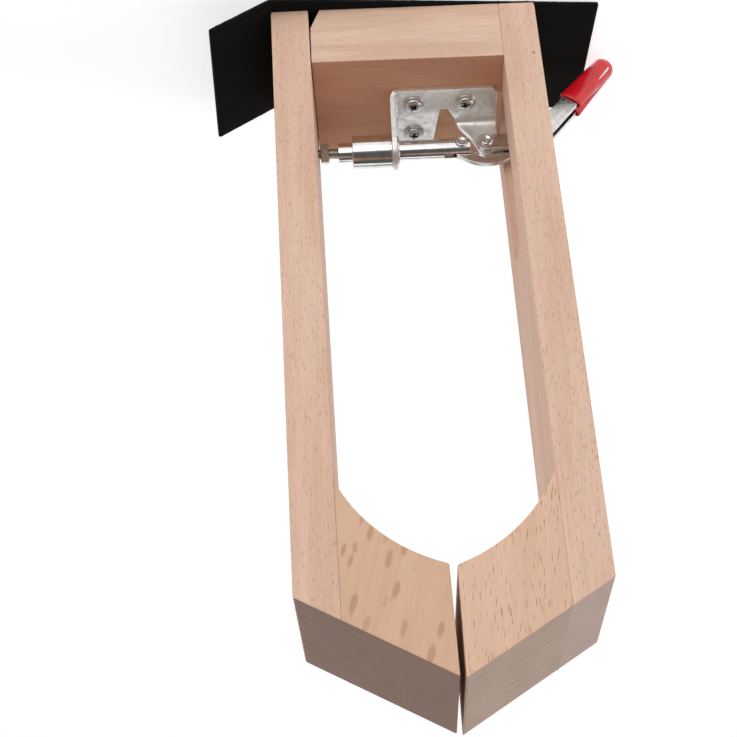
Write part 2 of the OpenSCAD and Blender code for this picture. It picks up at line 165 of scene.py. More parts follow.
class Shader:
    """One material and short names for the nodes that it is made of. Sizes in the nodes are millimetres."""

    def __init__(self, name):
        self.material = bpy.data.materials.new(name)
        self.material.use_nodes = True
        self.nodes = self.material.node_tree.nodes
        self.links = self.material.node_tree.links
        self.nodes.clear()
        self.bsdf = self.nodes.new("ShaderNodeBsdfPrincipled")
        output = self.nodes.new("ShaderNodeOutputMaterial")
        self.links.new(self.bsdf.outputs["BSDF"], output.inputs["Surface"])
        self.place = self.nodes.new("ShaderNodeTexCoord")

    def put(self, socket, value):
        if isinstance(value, bpy.types.NodeSocket):
            self.links.new(value, socket)
        else:
            socket.default_value = value

    def set(self, name, value):
        self.put(self.bsdf.inputs[name], value)

    def millimetres(self, turn=(0, 0, 0)):
        """Object coordinates in millimetres, turned by Euler angles in degrees."""
        mapping = self.nodes.new("ShaderNodeMapping")
        mapping.inputs["Scale"].default_value = (1000, 1000, 1000)
        mapping.inputs["Rotation"].default_value = [math.radians(a) for a in turn]
        self.links.new(self.place.outputs["Object"], mapping.inputs["Vector"])
        return mapping.outputs["Vector"]

    def stretch(self, vector, cell, shift=(0, 0, 0)):
        """Coordinates in which one cell of the given size in mm is 1 across."""
        mapping = self.nodes.new("ShaderNodeMapping")
        mapping.inputs["Scale"].default_value = [1 / c for c in cell]
        mapping.inputs["Location"].default_value = shift
        self.links.new(vector, mapping.inputs["Vector"])
        return mapping.outputs["Vector"]

    def noise(self, vector, detail=2.0, roughness=0.5, distortion=0.0):
        n = self.nodes.new("ShaderNodeTexNoise")
        n.inputs["Scale"].default_value = 1.0
        n.inputs["Detail"].default_value = detail
        n.inputs["Roughness"].default_value = roughness
        n.inputs["Distortion"].default_value = distortion
        self.links.new(vector, n.inputs["Vector"])
        return n.outputs["Fac"]

    def cells(self, vector, randomness=1.0):
        """(distance from the nearest cell's middle, a random value for that cell)."""
        n = self.nodes.new("ShaderNodeTexVoronoi")
        n.inputs["Scale"].default_value = 1.0
        n.inputs["Randomness"].default_value = randomness
        self.links.new(vector, n.inputs["Vector"])
        split = self.nodes.new("ShaderNodeSeparateColor")
        self.links.new(n.outputs["Color"], split.inputs[0])
        return n.outputs["Distance"], split.outputs["Red"]

    def sum(self, operation, a, b=0.0):
        n = self.nodes.new("ShaderNodeMath")
        n.operation = operation
        for socket, value in zip(n.inputs, (a, b)):
            self.put(socket, value)
        return n.outputs[0]

    def vector(self, operation, a, b=None):
        """Vector maths: a length or a distance gives a value, the rest give a vector."""
        n = self.nodes.new("ShaderNodeVectorMath")
        n.operation = operation
        self.put(n.inputs[0], a)
        if b is not None:
            self.put(n.inputs[1], b)
        return n.outputs["Value" if operation in ("LENGTH", "DISTANCE") else "Vector"]

    def span(self, value, low, high, to_low=0.0, to_high=1.0):
        """value from low..high, eased and clamped, to to_low..to_high."""
        n = self.nodes.new("ShaderNodeMapRange")
        n.interpolation_type = "SMOOTHSTEP"
        for name, x in (("Value", value), ("From Min", low), ("From Max", high),
                        ("To Min", to_low), ("To Max", to_high)):
            self.put(n.inputs[name], x)
        return n.outputs["Result"]

    def mix(self, factor, a, b, blend="MIX"):
        n = self.nodes.new("ShaderNodeMix")
        n.data_type = "RGBA"
        n.blend_type = blend
        self.put(n.inputs[0], factor)
        for socket, value in ((n.inputs[6], a), (n.inputs[7], b)):
            self.put(socket, value if isinstance(value, bpy.types.NodeSocket) else (*value, 1))
        return n.outputs[2]

    def ramp(self, value, stops):
        n = self.nodes.new("ShaderNodeValToRGB")
        set_stops(n, stops)
        self.links.new(value, n.inputs[0])
        return n.outputs["Color"]

    def axis(self, vector, name):
        n = self.nodes.new("ShaderNodeSeparateXYZ")
        self.links.new(vector, n.inputs[0])
        return n.outputs[name]

    def bump(self, height, depth_mm):
        """Bump from a height that runs from 0 to 1, depth_mm deep."""
        n = self.nodes.new("ShaderNodeBump")
        n.inputs["Strength"].default_value = 1.0
        n.inputs["Distance"].default_value = depth_mm * MM
        self.put(n.inputs["Height"], height)
        self.set("Normal", n.outputs["Normal"])


# ---------------------------------------------------------------- materials

def beech(name, light, dark, end, along="Z", tilt=0.0, dashes=0.5, dash_cell=(0.9, 0.9, 4.5), flecks=0.0,
          pith=(30, 60), shade=(1, 1, 1), seed=0, knot=None, rings=0.30):
    """Sanded beech. Short dark dashes and oval flecks lie along the grain, and faces that cut the grain
    show darker end grain with growth rings round the pith, rings strong. shade colours the faces that look
    up: partly the wood's own browner tint there, partly painted shade for a top that gets less light."""
    s = Shader(name)
    turn = (0, 90 + tilt, 0) if along == "X" else (0, tilt, 0)
    grain = s.millimetres(turn)
    # broad colour drift and fine fibre streaks
    drift = s.noise(s.stretch(grain, (9, 14, 90), (seed, 0, seed)), 2, 0.55, 0.3)
    streak = s.noise(s.stretch(grain, (0.9, 0.9, 26), (seed, seed, 0)), 3, 0.6)
    fibre = s.noise(s.stretch(grain, (0.22, 0.22, 5)), 2, 0.6)
    tone = s.sum("ADD", s.sum("MULTIPLY", drift, 0.62), s.sum("MULTIPLY", streak, 0.38))
    side = s.mix(s.span(tone, 0.34, 0.66), dark, light)
    side = s.mix(s.span(fibre, 0.35, 0.75, 0.0, 0.16), side, toned(dark, 0.72))
    # short dark dashes
    far, chance = s.cells(s.stretch(grain, dash_cell, (0, seed, 0)))
    dash = s.sum("MULTIPLY", s.span(far, 0.28, 0.17), s.span(chance, 0.05, 0.6, 0.4, 1.0))
    side = s.mix(s.sum("MULTIPLY", dash, dashes), side, toned(dark, 0.55, 0.42, 0.34))
    # oval ray flecks
    if flecks:
        wander = s.noise(s.stretch(grain, (5, 5, 8)), 2)
        cell = s.stretch(grain, (3.7, 4.6, 10.5), (seed, 0.3, 0))
        far, chance = s.cells(cell, 0.85)
        far = s.sum("ADD", far, s.sum("MULTIPLY", s.sum("SUBTRACT", wander, 0.5), 0.55))
        fleck = s.sum("MULTIPLY", s.span(far, 0.34, 0.17), s.span(chance, 0.18, 0.42))
        combed = s.sum("MULTIPLY", fleck, s.span(fibre, 0.2, 0.7, 0.75, 1.0))
        side = s.mix(s.sum("MULTIPLY", combed, flecks), side, toned(dark, 0.68, 0.54, 0.44))
    # end grain
    from_pith = s.vector("SUBTRACT", grain, (*pith, 0))
    reach = s.vector("LENGTH", s.vector("MULTIPLY", from_pith, (1, 1, 0)))
    wobble = s.noise(s.stretch(grain, (16, 16, 60), (seed, 0, 0)), 2, 0.5)
    turns = s.sum("ADD", s.sum("MULTIPLY", reach, 0.30), s.sum("MULTIPLY", wobble, 3.2))
    ring = s.sum("FRACT", turns)
    late = s.sum("MULTIPLY", s.span(ring, 0.45, 0.92), s.span(ring, 1.0, 0.95))
    pores = s.noise(s.stretch(grain, (0.28, 0.28, 1.4)), 2, 0.7)
    cut = s.mix(s.span(late, 0.0, 1.0, 0.0, rings), end, toned(end, 0.62))
    cut = s.mix(s.span(pores, 0.42, 0.68, 0.0, 0.22), cut, toned(end, 0.7))
    cut = s.mix(s.span(drift, 0.35, 0.65, 0.0, 0.25), cut, tuple(min(1, c * 1.22) for c in end))
    facing = s.axis(s.place.outputs["Normal"], along)
    is_end = s.span(s.sum("ABSOLUTE", facing), 0.55, 0.75)
    color = s.mix(is_end, side, cut)
    # painted shade, in part: faces that look up are multiplied by shade, which stands both for the wood's browner
    # tint and for the shade that falls on a top
    if shade != (1, 1, 1):
        up = s.span(s.axis(s.place.outputs["Normal"], "Z"), 0.6, 0.9)
        color = s.mix(up, color, s.mix(1.0, color, shade, "MULTIPLY"))
    if knot:
        gap = s.vector("DISTANCE", s.millimetres(), knot)
        color = s.mix(s.span(gap, 0.85, 0.35, 0.0, 0.75), color, toned(dark, 0.3))
    s.set("Base Color", color)
    s.set("Roughness", s.span(streak, 0.3, 0.7, 0.50, 0.66))
    s.set("Specular IOR Level", 0.35)
    relief = s.sum("SUBTRACT", s.sum("MULTIPLY", fibre, 0.7), s.sum("MULTIPLY", dash, 0.5))
    s.bump(s.sum("ADD", relief, s.sum("MULTIPLY", pores, 0.3)), 0.035)
    return s.material


def plated(name, color, dull, shiny, blotch_mm, scratch=0.25):
    """Bright plated steel: cloudy roughness, fine random scratches and a little tarnish."""
    s = Shader(name)
    here = s.millimetres()
    cloud = s.noise(s.stretch(here, (blotch_mm, blotch_mm, blotch_mm)), 3, 0.6, 0.4)
    grit = s.noise(s.stretch(here, (0.12, 0.12, 0.12)), 2, 0.6)
    lines = s.noise(s.stretch(s.millimetres((12, 7, 24)), (0.08, 2.6, 2.6)), 2, 0.6)
    s.set("Metallic", 1.0)
    warm = toned(color, 0.86, 0.84, 0.80)
    s.set("Base Color", s.mix(s.span(cloud, 0.38, 0.66), color, warm))
    rough = s.sum("ADD", s.span(cloud, 0.3, 0.7, shiny, dull), s.span(lines, 0.55, 0.8, 0.0, scratch * 0.3))
    s.set("Roughness", rough)
    fine = s.sum("ADD", s.sum("MULTIPLY", grit, 0.10), s.sum("MULTIPLY", lines, scratch * 0.2))
    s.bump(s.sum("ADD", cloud, fine), 0.03)
    return s.material


def suede():
    """Black suede: a short nap with brushed patches."""
    s = Shader("black_suede")
    here = s.millimetres()
    nap = s.noise(s.stretch(here, (0.35, 0.35, 0.35)), 4, 0.75, 0.6)
    patch = s.noise(s.stretch(here, (11, 14, 11)), 3, 0.6, 0.8)
    color = s.mix(s.span(nap, 0.3, 0.75), (0.0016, 0.0014, 0.0016), (0.0055, 0.0048, 0.0052))
    color = s.mix(s.span(patch, 0.4, 0.7, 0.0, 0.5), color, (0.0040, 0.0036, 0.0039))
    s.set("Base Color", color)
    s.set("Roughness", s.span(patch, 0.3, 0.7, 0.86, 0.97))
    s.set("Specular IOR Level", 0.12)
    s.set("Sheen Weight", 0.03)
    s.set("Sheen Roughness", 0.6)
    s.bump(s.sum("ADD", nap, s.sum("MULTIPLY", patch, 0.6)), 0.22)
    return s.material


def vinyl():
    """Glossy red dipped vinyl with slight waves and specks."""
    s = Shader("red_vinyl")
    here = s.millimetres()
    wave = s.noise(s.stretch(here, (3.5, 3.5, 5.5)), 2, 0.5, 0.3)
    speck = s.noise(s.stretch(here, (0.25, 0.25, 0.25)), 2, 0.6)
    s.set("Base Color", s.mix(s.span(wave, 0.35, 0.7), (0.62, 0.004, 0.012), (0.74, 0.010, 0.020)))
    s.set("Roughness", s.span(speck, 0.4, 0.8, 0.22, 0.34))
    s.set("Subsurface Weight", 0.06)
    s.set("Subsurface Radius", (0.004, 0.001, 0.001))
    s.set("Coat Weight", 0.35)
    s.set("Coat Roughness", 0.14)
    s.bump(s.sum("ADD", wave, s.sum("MULTIPLY", speck, 0.05)), 0.12)
    return s.material


LEG_LIGHT = (0.75, 0.520, 0.400)
LEG_DARK = (0.65, 0.415, 0.300)
# The moving side's end grain is darker than the fixed side's: partly its own wood, partly painted shade of its
# sloped ends, which face away from the side light.
MOVING_END, FIXED_END = (0.36, 0.205, 0.155), (0.60, 0.43, 0.36)


def make_materials():
    return {
        "moving_leg": beech("beech_moving_leg", LEG_LIGHT, LEG_DARK, MOVING_END, dashes=0.55,
                            dash_cell=(0.6, 0.6, 4.0), pith=(140, 60), seed=3.1),
        "fixed_leg": beech("beech_fixed_leg", LEG_LIGHT, LEG_DARK, FIXED_END, dashes=0.60,
                           dash_cell=(0.6, 0.6, 4.2), pith=(-120, 90), seed=7.7, knot=(-47.2, -27.0, 28.3)),
        # the moving jaw's end colour is darker than the fixed jaw's: partly its own wood, partly painted shade of
        # its sloped end
        "moving_jaw": beech("beech_moving_jaw", (0.68, 0.44, 0.300), (0.61, 0.38, 0.250), (0.35, 0.20, 0.145),
                            tilt=-14, dashes=0.10, flecks=0.66, pith=(15, 190), seed=1.3),
        "fixed_jaw": beech("beech_fixed_jaw", (0.73, 0.49, 0.350), (0.66, 0.42, 0.290), (0.58, 0.40, 0.31),
                           tilt=-4, dashes=0.85, dash_cell=(0.52, 0.52, 6.4), pith=(-38, 52), seed=5.9,
                           rings=0.6),
        # the block's top is browned and darkened through shade: partly its own tint, partly painted shade
        "block": beech("beech_block", (0.76, 0.56, 0.43), (0.64, 0.42, 0.30), FIXED_END, along="X",
                       dashes=0.22, pith=(60, -40), shade=(0.97, 0.75, 0.63), seed=9.4),
        "sheet": plated("zinc_sheet", (0.93, 0.93, 0.92), 0.52, 0.30, 2.2),
        "screw": plated("zinc_screw", (0.62, 0.62, 0.61), 0.36, 0.22, 1.2),
        # painted shade: a near-black copy of the screw plating for the faces inside the cross recesses, where
        # shade falls
        "recess": plated("screw_recess_painted_shade", (0.10, 0.09, 0.085), 0.65, 0.5, 1.2),
        "chrome": plated("chrome_plate", (0.82, 0.82, 0.83), 0.10, 0.05, 4.0, 0.08),
        "bright": plated("bright_steel", (0.72, 0.72, 0.72), 0.24, 0.12, 2.0),
        "suede": suede(),
        "vinyl": vinyl(),
    }


# ---------------------------------------------------------------- mesh helpers

def add_piece(mesh, name, material, nodes):
    """Puts a finished mesh in the scene as a piece that stands for CAD nodes of one body."""
    mesh.name = name
    mesh.materials.clear()
    mesh.materials.append(material)
    piece = bpy.data.objects.new(name, mesh)
    bpy.context.scene.collection.objects.link(piece)
    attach(piece, body_of_node[nodes[0]])
    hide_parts(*nodes)
    return piece


def baked(piece):
    """Applies a piece's modifiers to its mesh."""
    graph = bpy.context.evaluated_depsgraph_get()
    mesh = bpy.data.meshes.new_from_object(piece.evaluated_get(graph))
    piece.modifiers.clear()
    piece.data = mesh


ROUND_STEPS = 3                              # faces across each rounded edge
SHARP_DEG = 28.0                             # an edge that turns by more than this is rounded
FLAT_DEG = 0.5                               # faces that meet at less than this are joined
MERGE = 0.002 * MM                           # vertices of the CAD mesh that are nearer than this are one
CUT_SNAP = 0.0001 * MM
NORMAL_WEIGHT = 80


def rounded(node, name, material, usual=0.25, radius_at=None, cuts=()):
    """A copy of a CAD node's mesh with its flat faces joined up and its edges rounded, radii in mm.
    radius_at(middle, direction, normals) gives an edge its own radius, or None for the usual one.
    cuts are heights in mm at which faces are split through their holes, so that the edges that join a hole to
    the rim meet both squarely and the rounding can't fold them over."""
    source = frame["nodes"][node].data
    mesh = bpy.data.meshes.new(name)
    mesh.from_pydata([v.co[:] for v in source.vertices], [], [p.vertices[:] for p in source.polygons])
    bm = bmesh.new()
    bm.from_mesh(mesh)
    bmesh.ops.remove_doubles(bm, verts=bm.verts, dist=MERGE)
    for height in cuts:
        made = bmesh.ops.bisect_plane(bm, geom=bm.verts[:] + bm.edges[:] + bm.faces[:], dist=CUT_SNAP,
                                      plane_co=(0, 0, height * MM), plane_no=(0, 0, 1))
        for part in made["geom_cut"]:
            if isinstance(part, bmesh.types.BMEdge):
                part.seam = True
    bmesh.ops.dissolve_limit(bm, angle_limit=math.radians(FLAT_DEG), verts=bm.verts, edges=bm.edges,
                             delimit={"SEAM"})
    bm.edges.index_update()
    radii = {}
    for e in bm.edges:
        if len(e.link_faces) == 2 and math.degrees(e.calc_face_angle(0)) > SHARP_DEG:
            middle = (e.verts[0].co + e.verts[1].co) / 2 / MM
            direction = (e.verts[1].co - e.verts[0].co).normalized()
            normals = [f.normal.copy() for f in e.link_faces]
            own = radius_at(middle, direction, normals) if radius_at else None
            radii[e.index] = usual if own is None else own
    widest = max(radii.values(), default=usual)
    weights = bm.edges.layers.float.new("bevel_weight_edge")
    bm.edges.ensure_lookup_table()
    for index, radius in radii.items():
        bm.edges[index][weights] = radius / widest
    for f in bm.faces:
        f.smooth = True
    bm.to_mesh(mesh)
    bm.free()
    piece = add_piece(mesh, name, material, [node])
    bevel = piece.modifiers.new("round", "BEVEL")
    bevel.limit_method = "WEIGHT"
    bevel.offset_type = "OFFSET"
    bevel.width = widest * MM
    bevel.segments = ROUND_STEPS
    bevel.use_clamp_overlap = False
    bevel.miter_outer = "MITER_ARC"
    even = piece.modifiers.new("even", "WEIGHTED_NORMAL")
    even.weight = NORMAL_WEIGHT
    even.keep_sharp = True
    baked(piece)
    return piece


def shell(rings, name, closed=True, smooth_to=35.0):
    """A mesh through rings of points, each ring closed on itself, with both ends capped."""
    bm = bmesh.new()
    rows = [[bm.verts.new(p) for p in ring] for ring in rings]
    n = len(rows[0])
    for a, b in zip(rows, rows[1:]):
        for i in range(n):
            k = (i + 1) % n
            bm.faces.new((a[i], a[k], b[k], b[i]))
    if closed:
        bm.faces.new(rows[0][::-1])
        bm.faces.new(rows[-1])
    bmesh.ops.remove_doubles(bm, verts=bm.verts, dist=0.001 * MM)
    bmesh.ops.recalc_face_normals(bm, faces=bm.faces)
    for f in bm.faces:
        f.smooth = True
    mesh = bpy.data.meshes.new(name)
    bm.to_mesh(mesh)
    bm.free()
    mesh.set_sharp_from_angle(angle=math.radians(smooth_to))
    return mesh


def ring_about(centre, axis, radius_of, steps):
    """Points round a centre in mm, on a plane across the X or Y axis, at radius_of(angle) mm."""
    points = []
    for i in range(steps):
        a = 2 * math.pi * i / steps
        r = radius_of(a)
        off = (0, r * math.cos(a), r * math.sin(a)) if axis == "X" else (r * math.cos(a), 0, r * math.sin(a))
        points.append((Vector(centre) + Vector(off)) * MM)
    return points


# ---------------------------------------------------------------- wood

def make_wood(material):
    leg = [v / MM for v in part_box("fixed_leg")]
    front, back = leg[0].y, leg[1].y
    base, inner, outer = leg[0].z, -leg[1].x, -leg[0].x
    jaw_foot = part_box("fixed_jaw_block")[0].z / MM
    near = 0.05                              # how far off a plane an edge still counts as on it

    def at_back_end(middle, normals):
        """Whether an edge joins the back to a sloped end."""
        return abs(middle.y - back) < near and any(n.z > 0.3 for n in normals)

    def leg_radius(middle, direction, normals):
        if middle.x > 0:
            middle = leaned(middle, -1.0)
        on_inner = abs(abs(middle.x) - inner) < near
        if on_inner and middle.z > jaw_foot:
            return 0.02                      # glue line along the jaw block
        if abs(middle.z - base) < near and abs(abs(middle.x) - outer) < near:
            return 2.0                       # bottom outer corner
        if at_back_end(middle, normals):
            return 2.0
        if abs(middle.y - front) < near:
            return 0.35
        if abs(middle.y - back) < near:
            return 2.2 if abs(abs(middle.x) - outer) < near else 0.9
        if abs(direction.y) > 0.9 and abs(middle.y - (front + back) / 2) < near:
            return 0.7                       # an edge right across the leg, not a piece of a hole's rim
        return 0.3

    def jaw_radius(middle, direction, normals):
        if middle.x > 0:
            middle = leaned(middle, -1.0)
        if abs(abs(middle.x) - inner) < near:
            return 0.02
        if at_back_end(middle, normals):
            return 2.0
        if abs(middle.y - back) < near:
            return 1.8 if abs(middle.x) < 3 else 0.9     # beside the jaw face
        if abs(middle.y - front) < near:
            return 0.35
        return 0.7

    def block_radius(middle, direction, normals):
        return 0.35 if min(abs(middle.y - front), abs(middle.y - back)) < near else 0.25

    axis_z = pivot.z / MM
    screw_z = sum(v.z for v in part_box("leg_screws")) / 2 / MM
    pocket_z = sum(v.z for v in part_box("hinge_leaf_arm")) / 2 / MM
    rounded("moving_leg", "moving_leg_wood", material["moving_leg"], 0.3, leg_radius,
            cuts=(pocket_z, axis_z))
    rounded("fixed_leg", "fixed_leg_wood", material["fixed_leg"], 0.3, leg_radius,
            cuts=(screw_z, axis_z))
    rounded("moving_jaw_block", "moving_jaw_wood", material["moving_jaw"], 0.4, jaw_radius)
    rounded("fixed_jaw_block", "fixed_jaw_wood", material["fixed_jaw"], 0.4, jaw_radius)
    rounded("base_block", "base_block_wood", material["block"], 0.25, block_radius)


# ---------------------------------------------------------------- suede strip

STRIP_START, STRIP_BEND, FLAP_LEN = -74.0, 52.0, 28.0
STRIP_WIDE, STRIP_THICK, STRIP_MID_Y = 57.0, 2.0, -0.3
STRIP_SKEW = math.radians(-3.5)
FLAP_ANGLE = math.radians(35)
BEND_RADIUS = 5.0
FOLD_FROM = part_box("base_block")[1].x - 3.4 * MM   # where the strip starts to turn with the hinged arm
FOLD_TO = hinge.x + 0.4 * MM


def strip_point(along, across, lift):
    """A point in mm of the strip, by its distances from the free end, across, and above the underside."""
    r = BEND_RADIUS
    flat = STRIP_BEND - STRIP_START - r * math.tan(FLAP_ANGLE / 2)
    arc = r * FLAP_ANGLE
    x0 = STRIP_START + flat
    if along < flat:
        x, z = STRIP_START + along, lift
    elif along < flat + arc:
        a = (along - flat) / r
        x, z = x0 + (r - lift) * math.sin(a), r - (r - lift) * math.cos(a)
    else:
        d = along - flat - arc
        x = x0 + (r - lift) * math.sin(FLAP_ANGLE) + d * math.cos(FLAP_ANGLE)
        z = r - (r - lift) * math.cos(FLAP_ANGLE) + d * math.sin(FLAP_ANGLE)
    turn = Matrix.Rotation(STRIP_SKEW, 3, "Z")
    point = turn @ Vector((x, STRIP_MID_Y + across, z))
    share = min(1.0, max(0.0, (point.x * MM - FOLD_FROM) / (FOLD_TO - FOLD_FROM)))
    return leaned(point, share * share * (3 - 2 * share))


def make_strip(material):
    """One piece of suede: flat under the block and both legs, its end bent up beside the hinged leg."""
    length = STRIP_BEND - STRIP_START + FLAP_LEN - 2 * BEND_RADIUS * math.tan(FLAP_ANGLE / 2) \
        + BEND_RADIUS * FLAP_ANGLE
    half = STRIP_WIDE / 2
    rim = 0.55
    # outline of the section across the strip, as (across, lift), with soft edges
    across_steps = 28
    top = [(-half + rim + (STRIP_WIDE - 2 * rim) * i / across_steps, STRIP_THICK)
           for i in range(across_steps + 1)]
    bottom = [(a, 0.0) for a, _ in reversed(top)]
    right = [(half - rim + rim * math.sin(t), STRIP_THICK / 2 + (STRIP_THICK / 2) * math.cos(t))
             for t in (0.7, 1.57, 2.44)]
    left = [(-a, STRIP_THICK - b) for a, b in right]
    section = top + right + bottom + left
    rings = []
    steps = 150
    for i in range(steps + 1):
        along = length * i / steps
        shrink = 0.6 if i in (0, steps) else 1.0
        ring = []
        for across, lift in section:
            edge = abs(across) / half
            wave = noise.noise((along * 0.09, math.copysign(4.0, across), 0.0)) * 0.35 \
                + noise.noise((along * 0.55, math.copysign(9.0, across), 2.0)) * 0.2
            trim = 0.35 + 0.45 * noise.noise((across * 0.5, 3.0 + i, 5.0))
            trim = trim if i == 0 else -trim if i == steps else 0.0
            a = across + math.copysign(wave, across) * edge ** 6
            mid = STRIP_THICK / 2
            b = mid + (lift - mid) * shrink
            ring.append(strip_point(along + trim, a, b) * MM)
        rings.append(ring)
    mesh = shell(rings, "suede_strip", smooth_to=60.0)
    mesh.materials.append(material)
    strip = bpy.data.objects.new("suede_strip", mesh)
    bpy.context.scene.collection.objects.link(strip)
    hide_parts("base_strip", "base_strip_flap")
    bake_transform(strip)


# ---------------------------------------------------------------- clamp

SHEET = 2.0                                  # the bracket's sheet, mm
LUG_BEND_R, WEB_BEND_R = 2.2, 3.6            # bend radii of the sheet's middle
LUG_STEPS, WEB_STEPS = 7, 9                  # flat strips that each bend is made of
LUG_R, WEB_HEAD_R = 7.4, 3.6
BARREL_HOLE_R, RIVET_HOLE_R, SCREW_HOLE_R = 5.0, 1.5, 2.1
RIM = 0.22                                   # rounding of the sheet's cut edges


def solids_of(node):
    """(lowest corner, highest corner) in mm of each separate solid of a CAD node."""
    bm = bmesh.new()
    bm.from_mesh(frame["nodes"][node].data)
    bmesh.ops.remove_doubles(bm, verts=bm.verts, dist=MERGE)
    found = []
    for start in bm.verts:
        if start.tag:
            continue
        start.tag = True
        todo, group = [start], []
        while todo:
            v = todo.pop()
            group.append(v.co / MM)
            for e in v.link_edges:
                other = e.other_vert(v)
                if not other.tag:
                    other.tag = True
                    todo.append(other)
        found.append((Vector([min(c[i] for c in group) for i in range(3)]),
                      Vector([max(c[i] for c in group) for i in range(3)])))
    bm.free()
    return sorted(found, key=lambda box: tuple(round(c, 3) for c in box[0]))


def arc_2d(middle, radius, start, end, steps):
    """Points on an arc, angles in degrees."""
    angles = [math.radians(start + (end - start) * i / steps) for i in range(steps + 1)]
    return [Vector((middle[0] + radius * math.cos(a), middle[1] + radius * math.sin(a))) for a in angles]


def moved_left(loop, distance):
    """A closed loop of 2-D points, each side moved to its left."""
    points = []
    for i, p in enumerate(loop):
        before, after = (p - loop[i - 1]).normalized(), (loop[(i + 1) % len(loop)] - p).normalized()
        n, m = Vector((-before.y, before.x)), Vector((-after.y, after.x))
        points.append(p + (n + m) * (distance / (1 + n.dot(m))))
    return points


def flat_plate(loops, thick, rim):
    """A flat plate about Z = 0 with rounded cut edges. The outline runs anticlockwise, holes clockwise."""
    bm = bmesh.new()
    turns = [math.pi / 2 * i / 3 for i in range(4)]
    profile = [(rim * (1 - math.sin(t)), thick / 2 - rim + rim * math.cos(t)) for t in turns]
    profile += [(inset, -lift) for inset, lift in reversed(profile)]
    rims = ([], [])
    for loop in loops:
        rows = [[bm.verts.new((p.x, p.y, lift)) for p in moved_left(loop, inset)] for inset, lift in profile]
        n = len(loop)
        for a, b in zip(rows, rows[1:]):
            for i in range(n):
                bm.faces.new((a[i], b[i], b[(i + 1) % n], a[(i + 1) % n]))
        for edges, row in zip(rims, (rows[0], rows[-1])):
            edges += [bm.edges.get((row[i], row[(i + 1) % n])) for i in range(n)]
    for edges in rims:
        bmesh.ops.triangle_fill(bm, use_beauty=True, edges=edges)
    return bm


def make_bracket(material):
    """One sheet, cut flat and then folded: the lug up at the front end, the web up beside the pivot."""
    low, high = (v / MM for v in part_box("clamp_bracket"))
    foot_z = low.z + SHEET / 2
    axis_y, axis_z, pivot_x = pivot.y / MM, pivot.z / MM, pivot.x / MM
    lug_from = high.x - SHEET / 2 - LUG_BEND_R
    web_from = axis_y - WEB_BEND_R
    quarter = math.pi / 2
    split_x = -14.0                          # the web is folded only on this side of the notch

    def lug_reach(z):
        return lug_from + LUG_BEND_R * quarter + z - foot_z - LUG_BEND_R

    def web_reach(z):
        return web_from + WEB_BEND_R * quarter + z - foot_z - WEB_BEND_R

    def bent(start, radius, reach):
        """(place along, height, angle) of a point of the flat sheet past the start of an upward bend."""
        a = min((reach - start) / radius, quarter)
        rise = max(0.0, reach - start - radius * quarter)
        return start + radius * math.sin(a), foot_z + radius * (1 - math.cos(a)) + rise, a

    def folded(u, v):
        """(point, normal) of the folded sheet's middle, for a point of the flat sheet."""
        if u > lug_from:
            x, z, a = bent(lug_from, LUG_BEND_R, u)
            return Vector((x, v, z)), Vector((-math.sin(a), 0, math.cos(a)))
        if u < split_x and v > web_from:
            y, z, a = bent(web_from, WEB_BEND_R, v)
            return Vector((u, y, z)), Vector((0, -math.sin(a), math.cos(a)))
        return Vector((u, v, foot_z)), Vector((0, 0, 1))

    lug_middle = (lug_reach(axis_z), axis_y)
    head_middle = (pivot_x, web_reach(axis_z))
    outline = [Vector(p) for p in ((low.x + 2, low.y), (lug_from - 0.8, low.y), (lug_from + 1.6, low.y + 0.7),
                                   (lug_from + 3.4, low.y + 2.4))]
    outline += arc_2d(lug_middle, LUG_R, -90, 90, 28)
    outline += [Vector(p) for p in ((lug_from + 3.5, high.y), (-9.6, high.y), (-12.2, -1.5), (-15.2, -1.5),
                                    (-18.0, 4.4), (-18.8, 7.5), (-23.6, web_reach(axis_z - 4.8)))]
    outline += arc_2d(head_middle, WEB_HEAD_R, 0, 180, 18)
    outline += [Vector(p) for p in ((low.x, web_reach(axis_z - 4.0)), (low.x, low.y + 2))]
    holes = [(lug_middle, BARREL_HOLE_R), (head_middle, RIVET_HOLE_R)]
    holes += [(((a.x + b.x) / 2, (a.y + b.y) / 2), SCREW_HOLE_R) for a, b in solids_of("clamp_screws")]
    loops = [outline] + [arc_2d(middle, radius, 0, -360, 40)[:-1] for middle, radius in holes]
    bm = flat_plate(loops, SHEET, RIM)
    cuts = [((lug_from + LUG_BEND_R * quarter * i / LUG_STEPS, 0, 0), (1, 0, 0))
            for i in range(LUG_STEPS + 1)]
    cuts += [((0, web_from + WEB_BEND_R * quarter * i / WEB_STEPS, 0), (0, 1, 0))
             for i in range(WEB_STEPS + 1)]
    for point, normal in cuts:
        bmesh.ops.bisect_plane(bm, geom=bm.verts[:] + bm.edges[:] + bm.faces[:], dist=0.0005,
                               plane_co=point, plane_no=normal)
    for v in bm.verts:
        point, normal = folded(v.co.x, v.co.y)
        v.co = (point + normal * v.co.z) * MM
    bmesh.ops.recalc_face_normals(bm, faces=bm.faces)
    for f in bm.faces:
        f.smooth = True
    mesh = bpy.data.meshes.new("clamp_bracket_sheet")
    bm.to_mesh(mesh)
    bm.free()
    piece = add_piece(mesh, "clamp_bracket_sheet", material, ["clamp_bracket"])
    even = piece.modifiers.new("even", "WEIGHTED_NORMAL")
    even.weight = NORMAL_WEIGHT
    baked(piece)


SCREW_DOME_R, SCREW_DOME_H, SCREW_SHANK_R = 3.15, 1.2, 1.8
CROSS_HALF_W, CROSS_REACH, CROSS_DEEP = 0.42, 1.75, 1.15


def cross_depth(u, v):
    """Depth in mm of the cross recess at a point from the screw's middle line."""
    narrow, far = min(abs(u), abs(v)), max(abs(u), abs(v))
    side = min(1.0, max(0.0, (CROSS_HALF_W + 0.14 - narrow) / 0.14))
    end = min(1.0, max(0.0, (CROSS_REACH - far) / 0.5))
    return CROSS_DEEP * side * end


